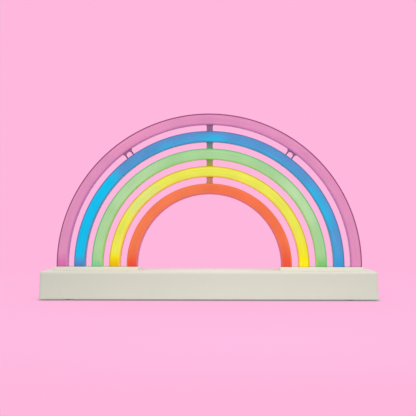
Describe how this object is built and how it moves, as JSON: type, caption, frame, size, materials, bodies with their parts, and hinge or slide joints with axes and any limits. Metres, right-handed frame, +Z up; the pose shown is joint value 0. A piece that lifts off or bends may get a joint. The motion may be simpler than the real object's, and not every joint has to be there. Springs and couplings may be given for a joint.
{
  "type": "rainbow table lamp",
  "caption": "Rainbow table lamp: concentric lit coloured arches on a long cream battery base, with hanging eyes, a rear slide switch and a hinged battery door.",
  "frame": {"origin": "on the standing surface, under the middle of the base", "axes": "+X to the right along the base as seen from the front, +Y from the front to the back, +Z up"},
  "size_m": [0.3, 0.055, 0.1675],
  "materials": {
    "pink_diffuser": "satin translucent silicone, lit from inside",
    "blue_diffuser": "satin translucent silicone, lit from inside",
    "green_diffuser": "satin translucent silicone, lit from inside",
    "yellow_diffuser": "satin translucent silicone, lit from inside",
    "orange_diffuser": "satin translucent silicone, lit from inside",
    "clear_plastic": "smoky clear moulded plastic",
    "cream_plastic": "fine matt moulded texture",
    "strip_white": "white coated",
    "light_chip": "cast lens",
    "steel": "zinc plated",
    "foot_rubber": "matt, pale",
    "cell_case": "plain wrapped case",
    "contact_metal": "nickel plated",
    "board_green": "solder mask",
    "black_plastic": "moulded",
    "lead_jacket": "smooth jacket"
  },
  "bodies": {
    "lamp": {"pink_arch_front": "pink_diffuser", "pink_arch_rear": "clear_plastic", "pink_led_strip": "strip_white", "pink_led_chips": "light_chip", "blue_arch_front": "blue_diffuser", "blue_arch_rear": "clear_plastic", "blue_led_strip": "strip_white", "blue_led_chips": "light_chip", "green_arch_front": "green_diffuser", "green_arch_rear": "clear_plastic", "green_led_strip": "strip_white", "green_led_chips": "light_chip", "yellow_arch_front": "yellow_diffuser", "yellow_arch_rear": "clear_plastic", "yellow_led_strip": "strip_white", "yellow_led_chips": "light_chip", "orange_arch_front": "orange_diffuser", "orange_arch_rear": "clear_plastic", "orange_led_strip": "strip_white", "orange_led_chips": "light_chip", "pink_blue_link": "clear_plastic", "blue_green_link": "clear_plastic", "green_yellow_link": "clear_plastic", "yellow_orange_link": "clear_plastic", "left_hanging_eye": "clear_plastic", "right_hanging_eye": "clear_plastic", "base_housing": "cream_plastic", "retaining_rods": "steel", "bottom_cover": "cream_plastic", "cover_screws": "steel", "rubber_feet": "foot_rubber", "battery_cells": "cell_case", "battery_springs": "contact_metal", "battery_contacts": "contact_metal", "circuit_board": "board_green", "board_components": "black_plastic", "board_screws": "steel", "lead_connector": "black_plastic", "switch_body": "black_plastic", "power_socket": "black_plastic", "power_socket_pin": "contact_metal", "led_leads": "lead_jacket", "battery_leads": "lead_jacket"},
    "battery_door": {"battery_door": "cream_plastic"},
    "switch_slider": {"switch_slider": "black_plastic"}
  },
  "joints": [
    {"name": "battery_door_hinge", "type": "hinge", "parent": "lamp", "child": "battery_door", "pos_m": [0, 0.02245, 0.0024], "axis": [1, 0, 0], "range_deg": [0, 90]},
    {"name": "switch_slide", "type": "slide", "parent": "lamp", "child": "switch_slider", "axis": [1, 0, 0], "range_m": [0, 0.004]}
  ]
}
